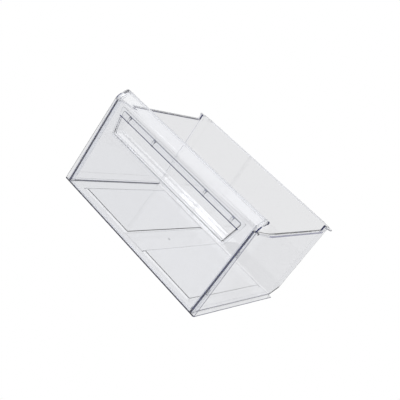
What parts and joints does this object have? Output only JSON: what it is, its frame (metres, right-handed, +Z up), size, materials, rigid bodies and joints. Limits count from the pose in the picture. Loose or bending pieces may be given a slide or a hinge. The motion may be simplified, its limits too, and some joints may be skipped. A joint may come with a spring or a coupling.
{
  "type": "fridge drawer",
  "caption": "Clear pull-out drawer for a fridge or freezer: open tub with rims, stop ears and runners, a bent front panel, and a snap-in finger pocket.",
  "frame": {"origin": "middle of the drawer's width and depth, on the plane that it stands on", "axes": "+Z up, +X to the right across the width, +Y from the front panel to the rear wall"},
  "size_m": [0.48, 0.387, 0.2565],
  "materials": {
    "clear_tub": "clear polished polystyrene",
    "clear_panel": "clear polished polystyrene",
    "clear_pocket": "clear polished polystyrene"
  },
  "bodies": {
    "root": {"tub": "clear_tub", "front_panel": "clear_panel", "grip_pocket": "clear_pocket"}
  },
  "joints": []
}
